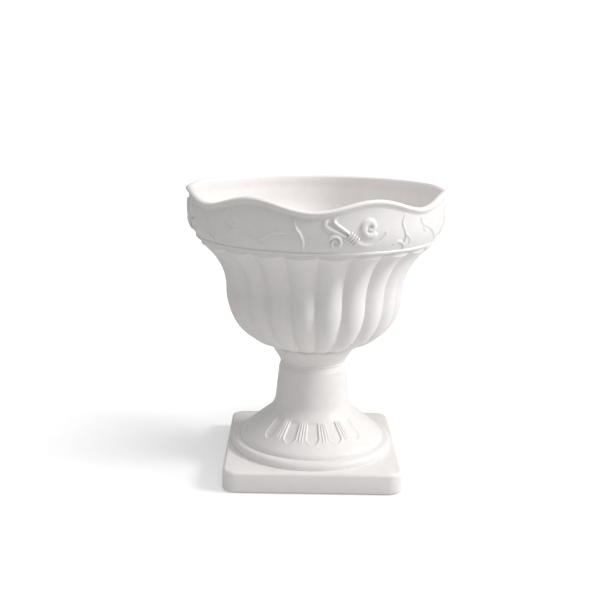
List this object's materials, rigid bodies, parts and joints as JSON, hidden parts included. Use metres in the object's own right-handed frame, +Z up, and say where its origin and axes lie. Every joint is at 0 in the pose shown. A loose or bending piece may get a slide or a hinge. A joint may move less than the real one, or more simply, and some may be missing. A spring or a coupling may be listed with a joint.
{
  "type": "pedestal urn planter",
  "caption": "White plastic pedestal urn: a fluted bowl with a wavy rolled rim and relief band, bolted onto a round stem with ringed foot and square plinth.",
  "frame": {"origin": "middle of the footprint, on the surface that the urn stands on", "axes": "+Z up along the urn's axis, front facing -Y, X across the front"},
  "size_m": [0.3004, 0.3004, 0.3374],
  "materials": {
    "bowl_plastic": "satin white moulded plastic",
    "pedestal_plastic": "satin white moulded plastic",
    "bolt_plastic": "white nylon, lightly glossy",
    "washer_steel": "plain stainless steel",
    "seal_rubber": "black rubber",
    "nut_steel": "plain stainless steel",
    "plug_rubber": "grey rubber",
    "pad_rubber": "dark grey rubber"
  },
  "bodies": {
    "base": {"pedestal": "pedestal_plastic", "captive_nut": "nut_steel", "foot_pad_1": "pad_rubber", "foot_pad_2": "pad_rubber", "foot_pad_3": "pad_rubber", "foot_pad_4": "pad_rubber"},
    "bowl_unit": {"bowl": "bowl_plastic", "seal_washer": "seal_rubber"},
    "washer": {"flat_washer": "washer_steel"},
    "bolt": {"clamp_bolt": "bolt_plastic"},
    "plug_1": {"drain_plug_1": "plug_rubber"},
    "plug_2": {"drain_plug_2": "plug_rubber"},
    "plug_3": {"drain_plug_3": "plug_rubber"}
  },
  "joints": [
    {"name": "bowl_lift", "type": "slide", "parent": "base", "child": "bowl_unit", "axis": [0, 0, 1], "range_m": [0, 0.06]},
    {"name": "washer_rise", "type": "slide", "parent": "bowl_unit", "child": "washer", "axis": [0, 0, 1], "range_m": [0, 0.0121]},
    {"name": "bolt_turn", "type": "hinge", "parent": "washer", "child": "bolt", "pos_m": [0, 0, 0.1206], "axis": [0, 0, 1], "range_deg": [0, 1440]},
    {"name": "plug_1_pull", "type": "slide", "parent": "bowl_unit", "child": "plug_1", "axis": [0, 0, 1], "range_m": [0, 0.02]},
    {"name": "plug_2_pull", "type": "slide", "parent": "bowl_unit", "child": "plug_2", "axis": [0, 0, 1], "range_m": [0, 0.02]},
    {"name": "plug_3_pull", "type": "slide", "parent": "bowl_unit", "child": "plug_3", "axis": [0, 0, 1], "range_m": [0, 0.02]}
  ],
  "couplings": [
    {"joint": "washer_rise", "follows": "bolt_turn", "m_per_rad": 0.00047746}
  ]
}
